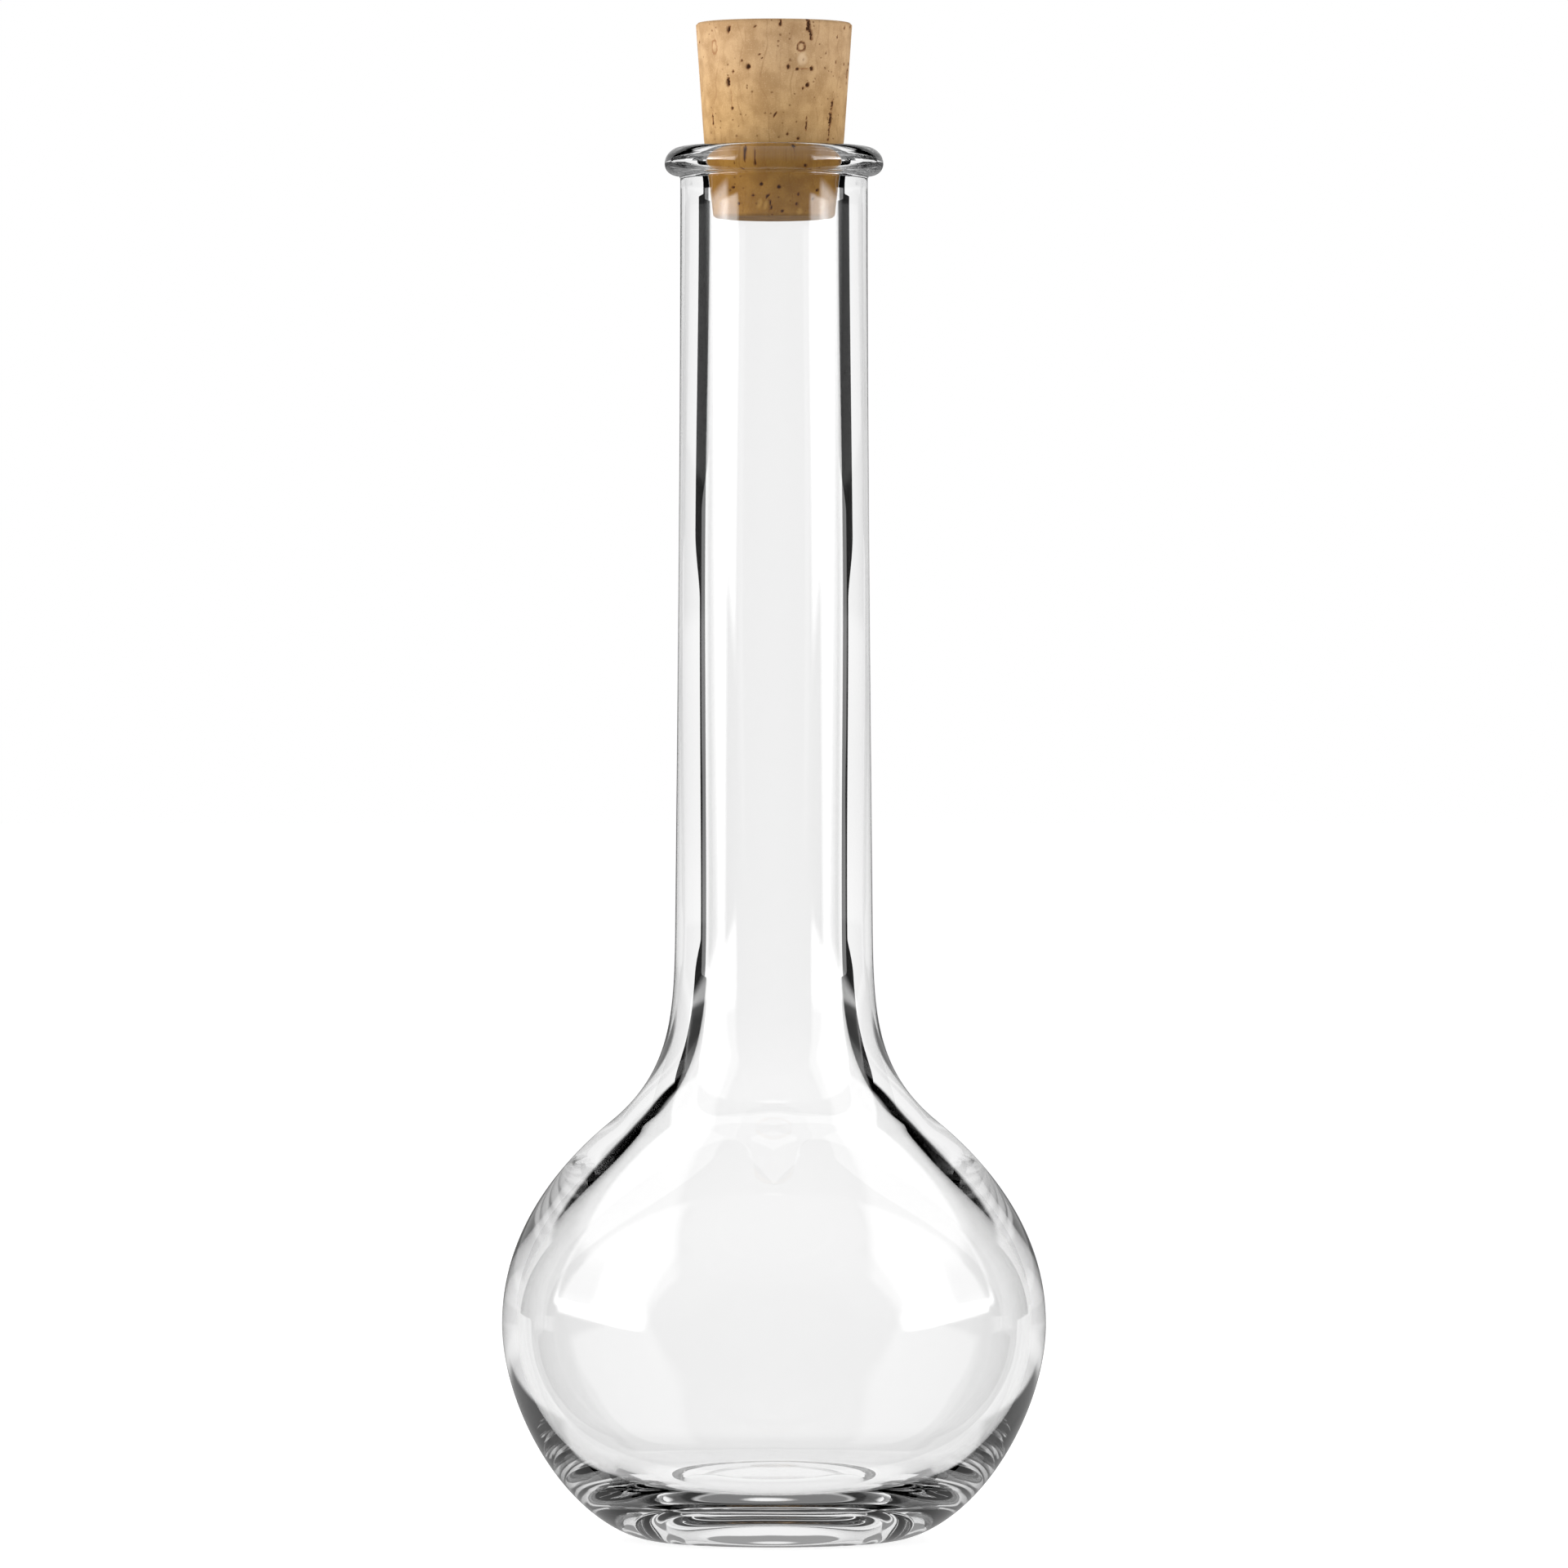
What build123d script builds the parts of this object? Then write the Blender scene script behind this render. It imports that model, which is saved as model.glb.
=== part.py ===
from build123d import *

import math
import os

# Long-necked round bottle of clear glass, closed by a tapered natural cork.
# Millimetres, +Z up. The origin is the centre of the ring that the bottle stands on.
# Every outline is drawn in the half plane of radius and height, then turned about Z.

# Outside of the body, from the standing ring up
bottle_height = 196.2
body_diameter = 76.6
widest_height = 30.6
standing_ring_diameter = 31.0
standing_ring_width = 0.8
push_up_height = 2.2

# The shoulder turns from bulging to hollow here, at this slope above level
shoulder_turn_diameter = 46.0
shoulder_turn_height = 59.0
shoulder_slope = 39.0

# Outside of the neck, which leans in a little at its foot and ends upright
neck_foot_height = 88.0
neck_foot_diameter = 27.8
neck_foot_lean = 0.6
neck_top_diameter = 26.4

# Glass thickness
base_thickness = 7.5
side_wall = 2.0
shoulder_wall = 3.9
neck_foot_wall = 4.55
neck_belly_wall = 3.85
neck_top_wall = 4.1

# Inside, the wall turns into the nearly flat floor here, at this slope above level
floor_corner_diameter = 45.4
floor_corner_height = 7.4
floor_corner_slope = 10.0

# Fire-polished lip, a bead round the neck
lip_height = 4.0
lip_overhang = 2.2
lip_underside_height = 1.6
lip_crown_width = 2.6
lip_root_radius = 0.6

# Tapered mouth that the cork wedges in
mouth_depth = 6.0
mouth_flare = 0.7
mouth_edge_radius = 0.6

# Cork
cork_length = 27.5
cork_insertion = 10.1
cork_top_diameter = 22.0
cork_squeeze_rise = 1.1
cork_edge_chamfer = 0.3
cork_clearance = 0.05

# Height of the widest part of the neck bore, as a share of the way from foot to throat
belly_height_share = 0.45

# How far each curve runs on in its first and last direction, as shares of its span
heel_shares = (0.319, 0.345)
crown_shares = (0.445, 0.212)
flare_shares = (0.383, 0.424)
neck_shares = (0.33, 0.33)
lip_shares = (0.39, 0.39)
bore_shares = (0.35, 0.35)
inner_flare_shares = (0.33, 0.60)
inner_crown_shares = (0.386, 0.332)
inner_heel_shares = (0.16, 0.48)
floor_shares = (0.35, 0.35)
push_up_shares = (0.45, 0.25)

OUTWARD = Vector(1, 0, 0)
UPWARD = Vector(0, 0, 1)


def at(radius, height):
    """A point of the half plane that the outlines are drawn in."""
    return Vector(radius, 0, height)


def heading(degrees):
    """The direction that climbs at this angle from outward."""
    angle = math.radians(degrees)
    return Vector(math.cos(angle), 0, math.sin(angle))


def blend(start, start_heading, end, end_heading, shares):
    """A smooth curve that leaves and reaches its ends in the headings given."""
    span = (end - start).length
    first, last = shares
    return Bezier(start, start + start_heading * span * first, end - end_heading * span * last, end)


def chain(points):
    """Straight lines from each point to the next."""
    return [Line(start, end) for start, end in zip(points, points[1:])]


def turned(edges):
    """The solid that a closed outline sweeps about the axis."""
    return revolve(make_face(Wire(edges)), Axis.Z)


# Places that the outside and the inside of the glass share
body_radius = body_diameter / 2
standing_radius = standing_ring_diameter / 2
neck_foot_radius = neck_foot_diameter / 2
neck_top_radius = neck_top_diameter / 2
lip_base_height = bottle_height - lip_height
lip_radius = neck_top_radius + lip_overhang

shoulder_heading = heading(180 - shoulder_slope)
shoulder_outward = heading(90 - shoulder_slope)
shoulder_turn = at(shoulder_turn_diameter / 2, shoulder_turn_height)
neck_heading = heading(90 + neck_foot_lean)

throat_radius = neck_top_radius - neck_top_wall
throat_height = bottle_height - mouth_depth
mouth_radius = throat_radius + mouth_flare
mouth_heading = (at(mouth_radius, bottle_height) - at(throat_radius, throat_height)).normalized()


def underside():
    """Push-up and standing ring, from the axis out to the heel."""
    ring_inner = at(standing_radius - standing_ring_width, 0)
    return [
        blend(at(0, push_up_height), OUTWARD, ring_inner, heading(-45), push_up_shares),
        Line(ring_inner, at(standing_radius, 0)),
    ]


def outer_body():
    """Heel, side, crown, hollow flare and neck, from the standing ring to the lip."""
    heel = at(standing_radius, 0)
    widest = at(body_radius, widest_height)
    neck_foot = at(neck_foot_radius, neck_foot_height)
    neck_end = at(neck_top_radius, lip_base_height - lip_root_radius)
    return [
        blend(heel, OUTWARD, widest, UPWARD, heel_shares),
        blend(widest, UPWARD, shoulder_turn, shoulder_heading, crown_shares),
        blend(shoulder_turn, shoulder_heading, neck_foot, neck_heading, flare_shares),
        blend(neck_foot, neck_heading, neck_end, UPWARD, neck_shares),
    ]


def lip():
    """The bead: its root on the neck, round underside, crown and polished inner edge."""
    root_start = at(neck_top_radius, lip_base_height - lip_root_radius)
    root_end = at(neck_top_radius + lip_root_radius, lip_base_height)
    widest = at(lip_radius, lip_base_height + lip_underside_height)
    crown = at(lip_radius - lip_crown_width, bottle_height)
    edge = at(mouth_radius + mouth_edge_radius, bottle_height)
    mouth = at(mouth_radius, bottle_height) - mouth_heading * mouth_edge_radius
    return [
        blend(root_start, UPWARD, root_end, OUTWARD, lip_shares),
        blend(root_end, OUTWARD, widest, UPWARD, lip_shares),
        blend(widest, UPWARD, crown, -OUTWARD, lip_shares),
        Line(crown, edge),
        blend(edge, -OUTWARD, mouth, -mouth_heading, lip_shares),
    ]


def inside():
    """Mouth taper, uneven neck bore, flare, crown, wall and thick floor, down to the axis."""
    mouth = at(mouth_radius, bottle_height) - mouth_heading * mouth_edge_radius
    throat = at(throat_radius, throat_height)
    belly_share = belly_height_share
    belly_height = neck_foot_height + (throat_height - neck_foot_height) * belly_share
    belly_outer = neck_foot_radius + (neck_top_radius - neck_foot_radius) * belly_share
    belly = at(belly_outer - neck_belly_wall, belly_height)
    neck_foot = at(neck_foot_radius - neck_foot_wall, neck_foot_height)
    turn = shoulder_turn - shoulder_outward * shoulder_wall
    widest = at(body_radius - side_wall, widest_height)
    corner = at(floor_corner_diameter / 2, floor_corner_height)
    corner_heading = -heading(floor_corner_slope)
    floor = at(0, base_thickness)
    return [
        Line(mouth, throat),
        blend(throat, -UPWARD, belly, -UPWARD, bore_shares),
        blend(belly, -UPWARD, neck_foot, -UPWARD, bore_shares),
        blend(neck_foot, -UPWARD, turn, -shoulder_heading, inner_flare_shares[::-1]),
        blend(turn, -shoulder_heading, widest, -UPWARD, inner_crown_shares[::-1]),
        blend(widest, -UPWARD, corner, corner_heading, inner_heel_shares[::-1]),
        blend(corner, corner_heading, floor, -OUTWARD, floor_shares[::-1]),
        Line(floor, at(0, push_up_height)),
    ]


def glass_bottle():
    """The bottle, blown in one piece."""
    return turned(underside() + outer_body() + lip() + inside())


def squeezed_cork_radius(height):
    """Radius of the cork where the mouth squeezes it, a clearance inside the taper."""
    slope = mouth_flare / mouth_depth
    return mouth_radius - cork_clearance + (height - bottle_height) * slope


def cork_stopper():
    """The cork: its free taper above the lip, and a steeper one where it is squeezed."""
    bottom = bottle_height - cork_insertion
    top = bottom + cork_length
    waist = bottle_height + cork_squeeze_rise
    outline = [
        at(0, bottom),
        at(squeezed_cork_radius(bottom), bottom),
        at(squeezed_cork_radius(waist), waist),
        at(cork_top_diameter / 2, top),
        at(0, top),
        at(0, bottom),
    ]
    cork = turned(chain(outline))
    rims = [cork.edges().sort_by(Axis.Z)[0], cork.edges().sort_by(Axis.Z)[-1]]
    return chamfer(rims, cork_edge_chamfer)


os.makedirs("parts", exist_ok=True)
export_step(glass_bottle(), "parts/glass_bottle.step")
export_step(cork_stopper(), "parts/cork_stopper.step")
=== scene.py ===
"""Studio look of a round, long-necked bottle of clear glass, closed by a natural cork."""

import logging
import math
import random
from dataclasses import dataclass, field
from enum import Enum
from typing import Sequence

import bmesh
import bpy
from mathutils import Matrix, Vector, noise


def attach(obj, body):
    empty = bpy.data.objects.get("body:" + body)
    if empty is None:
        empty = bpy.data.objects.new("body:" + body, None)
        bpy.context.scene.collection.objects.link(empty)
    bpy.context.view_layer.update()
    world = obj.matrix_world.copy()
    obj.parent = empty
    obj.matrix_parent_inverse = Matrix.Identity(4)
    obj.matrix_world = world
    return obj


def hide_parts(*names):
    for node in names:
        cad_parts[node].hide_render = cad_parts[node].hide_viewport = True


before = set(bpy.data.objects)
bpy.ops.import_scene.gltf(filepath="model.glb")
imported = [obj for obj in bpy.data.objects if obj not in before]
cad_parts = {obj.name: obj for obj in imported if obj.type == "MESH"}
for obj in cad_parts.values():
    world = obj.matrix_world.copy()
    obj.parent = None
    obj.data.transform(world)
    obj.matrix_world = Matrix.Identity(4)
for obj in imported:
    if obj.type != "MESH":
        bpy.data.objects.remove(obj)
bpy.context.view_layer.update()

MM = 0.001

# One pixel of the photo, at the bottle
PIXEL = 0.115 * MM

# Vertices nearer than this are one, in metres
MERGE_GAP = 1e-7

# Directions in the half plane of the outlines, in degrees above outward
OUTWARD, UPWARD, INWARD, DOWNWARD = 0.0, 90.0, 180.0, -90.0

LOG = logging.getLogger("bottle")

Socket = bpy.types.NodeSocket
Colour = tuple[float, float, float, float]


class Ray(Enum):
    """The kinds of ray that the studio shows a different face to."""

    CAMERA = "Is Camera Ray"
    GLOSSY = "Is Glossy Ray"
    TRANSMISSION = "Is Transmission Ray"
    SHADOW = "Is Shadow Ray"


class Depth(Enum):
    """What a ray counts: how often it was turned back, and how often it went through a surface."""

    TURNED_BACK = "Glossy Depth"
    WENT_THROUGH = "Transmission Depth"


@dataclass(frozen=True)
class Ramp:
    """A smooth change from start to end, while the value that drives it goes from low to high."""

    low: float
    high: float
    start: float = 0.0
    end: float = 1.0


@dataclass(frozen=True)
class Edge:
    """A soft edge in the surroundings: its angle and its width in degrees, and the levels beside it."""

    at: float
    soft: float
    start: float = 0.0
    end: float = 1.0

    def ramp(self) -> Ramp:
        """The edge as a ramp over radians."""
        half = self.soft / 2
        return Ramp(math.radians(self.at - half), math.radians(self.at + half), self.start, self.end)


def fade(at: float, soft: float) -> Edge:
    """A soft edge with nothing beyond it."""
    return Edge(at, soft, 1.0, 0.0)


@dataclass(frozen=True)
class Patch:
    """A patch of the surroundings, between edges in the angle round and in the angle above level."""

    around: tuple[Edge, ...]
    above: tuple[Edge, ...]


@dataclass(frozen=True)
class Grain:
    """A noise texture: its scale, per metre, and its detail."""

    scale: float
    detail: float


def grey(level: float) -> Colour:
    """A neutral colour of this linear level."""
    return (level, level, level, 1.0)


def clamp(value: float) -> float:
    """The value, held between nought and one."""
    return max(0.0, min(1.0, value))


class Graph:
    """A node tree with short ways to add and join its nodes."""

    def __init__(self, tree: bpy.types.NodeTree) -> None:
        """Empties the tree."""
        self.tree = tree
        tree.nodes.clear()

    def node(self, kind: str, **settings: object) -> bpy.types.Node:
        """Adds a node.

        Args:
            kind: The node's type name, without the ShaderNode in front.
            settings: Attributes to set on it.

        Returns:
            The new node.
        """
        made = self.tree.nodes.new("ShaderNode" + kind)
        for name, value in settings.items():
            setattr(made, name, value)
        return made

    def feed(self, socket: Socket, value: object) -> None:
        """Links an output to a socket, or sets the socket's own value.

        Args:
            socket: The input.
            value: An output, or a plain number, colour or vector.
        """
        if isinstance(value, bpy.types.NodeSocket):
            self.tree.links.new(value, socket)
        else:
            socket.default_value = value

    def surface(self, levels: dict[str, object]) -> Socket:
        """Adds the surface shader.

        Args:
            levels: What its sockets get, by name.

        Returns:
            The shader's output.
        """
        made = self.node("BsdfPrincipled")
        for name, value in levels.items():
            self.feed(made.inputs[name], value)
        return made.outputs[0]

    def clear_where(self, share: Socket, shader: Socket) -> Socket:
        """Turns a shader into clear air.

        Args:
            share: How far, from nought to one.
            shader: The shader.

        Returns:
            The mixed shader.
        """
        mix = self.node("MixShader")
        clear = self.node("BsdfTransparent").outputs[0]
        for socket, item in zip(mix.inputs, (share, shader, clear)):
            self.feed(socket, item)
        return mix.outputs[0]

    def finish(self, shader: Socket) -> None:
        """Ends a material's tree in this shader."""
        self.feed(self.node("OutputMaterial").inputs["Surface"], shader)

    def math(self, operation: str, *values: object) -> Socket:
        """Adds a Math node.

        Args:
            operation: What it does.
            values: What it does it to, numbers or outputs.

        Returns:
            Its output.
        """
        made = self.node("Math", operation=operation)
        for socket, value in zip(made.inputs, values):
            self.feed(socket, value)
        return made.outputs[0]

    def times(self, *values: object) -> Socket:
        """Multiplies numbers and outputs.

        Args:
            values: What to multiply.

        Returns:
            The product.
        """
        result = values[0]
        for value in values[1:]:
            result = self.math("MULTIPLY", result, value)
        return result

    def most(self, *values: object) -> Socket:
        """Picks the largest of numbers and outputs.

        Args:
            values: What to pick from.

        Returns:
            The largest.
        """
        result = values[0]
        for value in values[1:]:
            result = self.math("MAXIMUM", result, value)
        return result

    def ramp(self, value: Socket, ramp: Ramp) -> Socket:
        """Takes a value along a ramp.

        Args:
            value: The value that drives it.
            ramp: The ramp, which holds it at both ends.

        Returns:
            The level on the ramp.
        """
        made = self.node("MapRange", interpolation_type="SMOOTHSTEP")
        for socket, item in zip(made.inputs, (value, ramp.low, ramp.high, ramp.start, ramp.end)):
            self.feed(socket, item)
        return made.outputs[0]

    def noise(self, place: Socket, grain: Grain) -> Socket:
        """Adds a noise texture.

        Args:
            place: The coordinates that it reads.
            grain: Its scale and detail.

        Returns:
            Its value.
        """
        made = self.node("TexNoise")
        made.inputs["Scale"].default_value = grain.scale
        made.inputs["Detail"].default_value = grain.detail
        self.feed(made.inputs["Vector"], place)
        return made.outputs[0]

    def axes(self, place: Socket) -> Sequence[Socket]:
        """Splits a vector.

        Args:
            place: The vector.

        Returns:
            Its three parts.
        """
        split = self.node("SeparateXYZ")
        self.feed(split.inputs[0], place)
        return split.outputs

    def attribute(self, name: str) -> Socket:
        """Reads a value that the mesh carries."""
        return self.node("Attribute", attribute_name=name).outputs["Fac"]

    def blend(self, share: object, first: object, second: object, way: str = "MIX") -> Socket:
        """Mixes two colours.

        Args:
            share: How much of the second there is.
            first: The first colour.
            second: The second colour.
            way: The kind of mixture.

        Returns:
            The mixture.
        """
        made = self.node("Mix", data_type="RGBA", blend_type=way)
        self.feed(made.inputs["Factor"], share)
        colours = [socket for socket in made.inputs if socket.type == "RGBA"]
        for socket, item in zip(colours, (first, second)):
            self.feed(socket, item)
        return next(socket for socket in made.outputs if socket.type == "RGBA")

    def tinted(self, share: object, colour: object, tint: object) -> Socket:
        """Multiplies a colour by a tint, as far as the share says."""
        return self.blend(share, colour, tint, "MULTIPLY")


def new_material(name: str) -> tuple[bpy.types.Material, Graph]:
    """Makes an empty material.

    Args:
        name: Its name.

    Returns:
        The material and its node tree.
    """
    material = bpy.data.materials.new(name)
    material.use_nodes = True
    return material, Graph(material.node_tree)


@dataclass(frozen=True)
class Point:
    """A point of the half plane in which the outlines are drawn, in millimetres."""

    radius: float
    height: float

    def towards(self, angle: float, length: float) -> "Point":
        """The point this far away, at this angle in degrees above outward."""
        turn = math.radians(angle)
        return Point(self.radius + length * math.cos(turn), self.height + length * math.sin(turn))

    def distance(self, other: "Point") -> float:
        """The distance to another point."""
        return math.hypot(other.radius - self.radius, other.height - self.height)


@dataclass(frozen=True)
class Bend:
    """How far a curve runs on in its first and last direction, as shares of its span, and its steps."""

    first: float
    last: float
    steps: int


def sweep(start: Point, start_angle: float, end: Point, end_angle: float, bend: Bend) -> list[Point]:
    """Points along a smooth curve that leaves and reaches its ends at the angles given.

    Args:
        start: Where the curve starts.
        start_angle: Its direction there, in degrees above outward.
        end: Where it ends.
        end_angle: Its direction there.
        bend: Its fullness at both ends, and how many points to give.

    Returns:
        The points after the start, up to the end.
    """
    span = start.distance(end)
    first = start.towards(start_angle, span * bend.first)
    last = end.towards(end_angle + 180.0, span * bend.last)
    corners = (start, first, last, end)
    points = []
    for step in range(1, bend.steps + 1):
        t = step / bend.steps
        weights = ((1 - t) ** 3, 3 * (1 - t) ** 2 * t, 3 * (1 - t) * t * t, t**3)
        radius = sum(w * p.radius for w, p in zip(weights, corners))
        height = sum(w * p.height for w, p in zip(weights, corners))
        points.append(Point(radius, height))
    return points


def turned(name: str, outline: Sequence[Point], segments: int) -> bpy.types.Mesh:
    """A closed mesh that an outline sweeps about the axis.

    Args:
        name: Name of the mesh.
        outline: Points from the axis back to the axis, in millimetres.
        segments: Steps round the axis.

    Returns:
        The mesh, in metres.
    """
    bm = bmesh.new()
    verts = [bm.verts.new((p.radius * MM, 0.0, p.height * MM)) for p in outline]
    edges = [bm.edges.new(pair) for pair in zip(verts, verts[1:])]
    bmesh.ops.spin(
        bm,
        geom=verts + edges,
        cent=(0, 0, 0),
        axis=(0, 0, 1),
        angle=math.tau,
        steps=segments,
        use_merge=True,
        use_duplicate=False,
    )
    bmesh.ops.remove_doubles(bm, verts=bm.verts, dist=MERGE_GAP)
    bmesh.ops.recalc_face_normals(bm, faces=bm.faces)
    for face in bm.faces:
        face.smooth = True
    mesh = bpy.data.meshes.new(name)
    bm.to_mesh(mesh)
    bm.free()
    return mesh


def placed(name: str, mesh: bpy.types.Mesh, material: bpy.types.Material) -> bpy.types.Object:
    """Puts a mesh in the scene at the origin.

    Args:
        name: Name of the piece.
        mesh: Its mesh.
        material: Its material.

    Returns:
        The piece.
    """
    mesh.materials.append(material)
    piece = bpy.data.objects.new(name, mesh)
    bpy.context.scene.collection.objects.link(piece)
    return piece


@dataclass(frozen=True)
class ClearGlass:
    """Colourless fire-polished glass."""

    name: str = "clear_glass"
    ior: float = 1.52
    tint: Colour = (1.0, 1.0, 1.0, 1.0)
    roughness: float = 0.0

    def material(self) -> bpy.types.Material:
        """Builds the glass. Lamps shine through it.

        Returns:
            The material.
        """
        material, graph = new_material(self.name)
        glass = graph.surface(
            {
                "Base Color": self.tint,
                "Roughness": self.roughness,
                "IOR": self.ior,
                "Transmission Weight": 1.0,
            }
        )
        path = graph.node("LightPath")
        graph.finish(graph.clear_where(path.outputs[Ray.SHADOW.value], glass))
        return material


@dataclass
class GlassBottle:
    """The bottle: base, flattened round body, hollow flare, neck and bead lip in one piece."""

    height: float = 196.2
    body_radius: float = 38.3
    widest_height: float = 30.6
    ring_radius: float = 15.5
    ring_width: float = 0.8
    push_up: float = 2.2
    push_up_slope: float = 45.0
    turn: Point = Point(23.0, 59.0)
    slope: float = 39.0
    neck_foot: Point = Point(13.9, 88.0)
    neck_lean: float = 0.6
    neck_top_radius: float = 13.2
    base_thickness: float = 7.5
    floor_corner: Point = Point(22.7, 7.4)
    floor_slope: float = 10.0
    side_wall: float = 2.0
    shoulder_wall: float = 3.9
    foot_wall: float = 4.55
    belly_wall: float = 3.85
    top_wall: float = 4.1
    lip_height: float = 4.0
    lip_overhang: float = 2.2
    lip_underside: float = 1.6
    lip_crown: float = 2.6
    lip_root: float = 0.6
    mouth_depth: float = 6.0
    mouth_flare: float = 0.7
    mouth_edge: float = 0.6
    belly_share: float = 0.45
    push_up_bend: Bend = Bend(0.45, 0.25, 24)
    heel_bend: Bend = Bend(0.319, 0.345, 56)
    crown_bend: Bend = Bend(0.445, 0.212, 40)
    flare_bend: Bend = Bend(0.383, 0.424, 36)
    neck_bend: Bend = Bend(0.33, 0.33, 30)
    lip_root_bend: Bend = Bend(0.39, 0.39, 8)
    lip_underside_bend: Bend = Bend(0.39, 0.39, 12)
    lip_crown_bend: Bend = Bend(0.39, 0.39, 16)
    mouth_edge_bend: Bend = Bend(0.39, 0.39, 8)
    mouth_bend: Bend = Bend(0.33, 0.33, 8)
    bore_bend: Bend = Bend(0.35, 0.35, 30)
    inner_flare_bend: Bend = Bend(0.60, 0.33, 40)
    inner_crown_bend: Bend = Bend(0.332, 0.386, 40)
    inner_heel_bend: Bend = Bend(0.48, 0.16, 60)
    floor_bend: Bend = Bend(0.35, 0.35, 40)
    wave_depth: float = 0.012
    wave_scale: Sequence[float] = (0.11, 0.11, 0.03)
    wave_start: Sequence[float] = (7.0, 3.0, 1.0)
    still_lip: float = 8.0
    still_base: float = 6.0
    segments: int = 204
    glass: ClearGlass = field(default_factory=ClearGlass)

    def outside(self) -> list[Point]:
        """Draws the outline from the middle of the push-up to the lip's inner edge.

        Returns:
            Its points.
        """
        ring_inner = Point(self.ring_radius - self.ring_width, 0.0)
        ring_middle = Point(ring_inner.radius + self.ring_width / 2, 0.0)
        heel = Point(self.ring_radius, 0.0)
        widest = Point(self.body_radius, self.widest_height)
        lip_base = self.height - self.lip_height
        neck_end = Point(self.neck_top_radius, lip_base - self.lip_root)
        root_end = Point(self.neck_top_radius + self.lip_root, lip_base)
        lip_radius = self.neck_top_radius + self.lip_overhang
        bead = Point(lip_radius, lip_base + self.lip_underside)
        crown = Point(lip_radius - self.lip_crown, self.height)
        edge = Point(self.mouth_radius + self.mouth_edge, self.height)
        rise = INWARD - self.slope
        lean = UPWARD + self.neck_lean
        outline = [Point(0.0, self.push_up)]
        outline += sweep(outline[0], OUTWARD, ring_inner, -self.push_up_slope, self.push_up_bend)
        outline += [ring_middle, heel]
        outline += sweep(heel, OUTWARD, widest, UPWARD, self.heel_bend)
        outline += sweep(widest, UPWARD, self.turn, rise, self.crown_bend)
        outline += sweep(self.turn, rise, self.neck_foot, lean, self.flare_bend)
        outline += sweep(self.neck_foot, lean, neck_end, UPWARD, self.neck_bend)
        outline += sweep(neck_end, UPWARD, root_end, OUTWARD, self.lip_root_bend)
        outline += sweep(root_end, OUTWARD, bead, UPWARD, self.lip_underside_bend)
        outline += sweep(bead, UPWARD, crown, INWARD, self.lip_crown_bend)
        outline += [Point((crown.radius + edge.radius) / 2, self.height), edge]
        outline += sweep(edge, INWARD, self.mouth_start, self.mouth_fall, self.mouth_edge_bend)
        return outline

    @property
    def throat(self) -> Point:
        """The narrow end of the tapered mouth."""
        return Point(self.neck_top_radius - self.top_wall, self.height - self.mouth_depth)

    @property
    def mouth_radius(self) -> float:
        """Radius of the tapered mouth, level with the top of the lip."""
        return self.throat.radius + self.mouth_flare

    @property
    def mouth_fall(self) -> float:
        """Direction of the mouth's taper, going down, in degrees above outward."""
        return math.degrees(math.atan2(self.mouth_depth, self.mouth_flare)) + 180.0

    @property
    def mouth_start(self) -> Point:
        """Where the mouth's taper starts, below its polished edge."""
        return Point(self.mouth_radius, self.height).towards(self.mouth_fall, self.mouth_edge)

    @property
    def bore_belly(self) -> Point:
        """Finds the widest place of the neck's bore, part of the way up.

        Returns:
            The place.
        """
        foot, throat, share = self.neck_foot, self.throat, self.belly_share
        outer = foot.radius + (self.neck_top_radius - foot.radius) * share
        return Point(outer - self.belly_wall, foot.height + (throat.height - foot.height) * share)

    def inside(self) -> list[Point]:
        """Draws the outline from the mouth down to the middle of the floor.

        Returns:
            Its points.
        """
        throat, belly, corner = self.throat, self.bore_belly, self.floor_corner
        foot = Point(self.neck_foot.radius - self.foot_wall, self.neck_foot.height)
        turn = self.turn.towards(270.0 - self.slope, self.shoulder_wall)
        widest = Point(self.body_radius - self.side_wall, self.widest_height)
        floor = Point(0.0, self.base_thickness)
        fall = -self.slope
        glide = self.floor_slope - INWARD
        outline = sweep(self.mouth_start, self.mouth_fall, throat, self.mouth_fall, self.mouth_bend)
        outline += sweep(throat, DOWNWARD, belly, DOWNWARD, self.bore_bend)
        outline += sweep(belly, DOWNWARD, foot, DOWNWARD, self.bore_bend)
        outline += sweep(foot, DOWNWARD, turn, fall, self.inner_flare_bend)
        outline += sweep(turn, fall, widest, DOWNWARD, self.inner_crown_bend)
        outline += sweep(widest, DOWNWARD, corner, glide, self.inner_heel_bend)
        outline += sweep(corner, glide, floor, -INWARD, self.floor_bend)
        return outline

    def ripple(self, mesh: bpy.types.Mesh) -> None:
        """Gives the surface the faint unevenness of blown glass, but for its base and its lip.

        Args:
            mesh: The bottle's mesh, in metres.
        """
        scale, start = Vector(self.wave_scale), Vector(self.wave_start)
        for vert, normal in zip(mesh.vertices, [v.normal.copy() for v in mesh.vertices]):
            place = vert.co / MM
            wave = (noise.noise(place * scale + start) - 0.5) * self.wave_depth
            below_lip = clamp((self.height - self.still_lip - place.z) / self.still_lip)
            above_base = clamp(place.z / self.still_base)
            vert.co += normal * (wave * below_lip * above_base * MM)

    def build(self) -> bpy.types.Object:
        """Builds the bottle and hangs it on its body.

        Returns:
            The bottle.
        """
        mesh = turned("glass_bottle_mesh", self.outside() + self.inside(), self.segments)
        self.ripple(mesh)
        piece = placed("glass_bottle_clear", mesh, self.glass.material())
        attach(piece, "bottle")
        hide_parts("glass_bottle")
        return piece


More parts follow.
